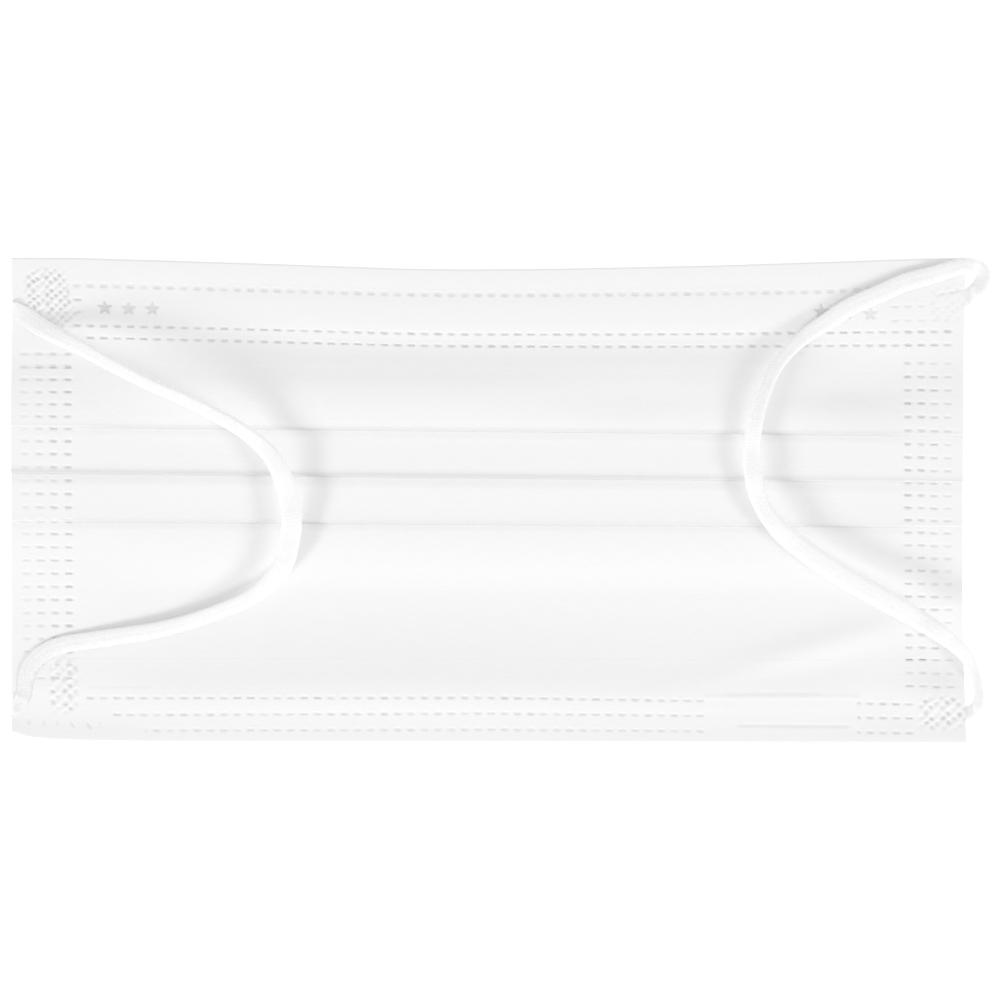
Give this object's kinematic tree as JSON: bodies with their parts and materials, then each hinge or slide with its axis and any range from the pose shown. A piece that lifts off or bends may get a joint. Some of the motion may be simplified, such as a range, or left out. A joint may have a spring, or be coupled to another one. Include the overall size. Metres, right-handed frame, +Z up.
{
  "type": "surgical face mask",
  "caption": "Flat-folded pleated face mask with hemmed upper and lower edges, a bendable nose strip and two elastic ear loops laid over it.",
  "frame": {"origin": "middle of the mask on the surface that it lies on", "axes": "+X along the width, +Y towards the nose edge, +Z up out of the side that shows"},
  "size_m": [0.1837, 0.0897, 0.0075],
  "materials": {
    "nonwoven_body": "matt white bonded nonwoven",
    "nonwoven_hem": "matt white bonded nonwoven",
    "nose_wire": "plastic-coated flat wire",
    "loop_weld": "pressed and welded elastic",
    "loop_elastic": "soft knitted elastic"
  },
  "bodies": {
    "root": {"panel": "nonwoven_body", "top_hem": "nonwoven_hem", "bottom_hem": "nonwoven_hem", "nose_wire": "nose_wire", "loop_weld_top_left": "loop_weld", "loop_weld_bottom_left": "loop_weld", "loop_weld_top_right": "loop_weld", "loop_weld_bottom_right": "loop_weld", "ear_loop_left": "loop_elastic", "ear_loop_right": "loop_elastic"}
  },
  "joints": []
}
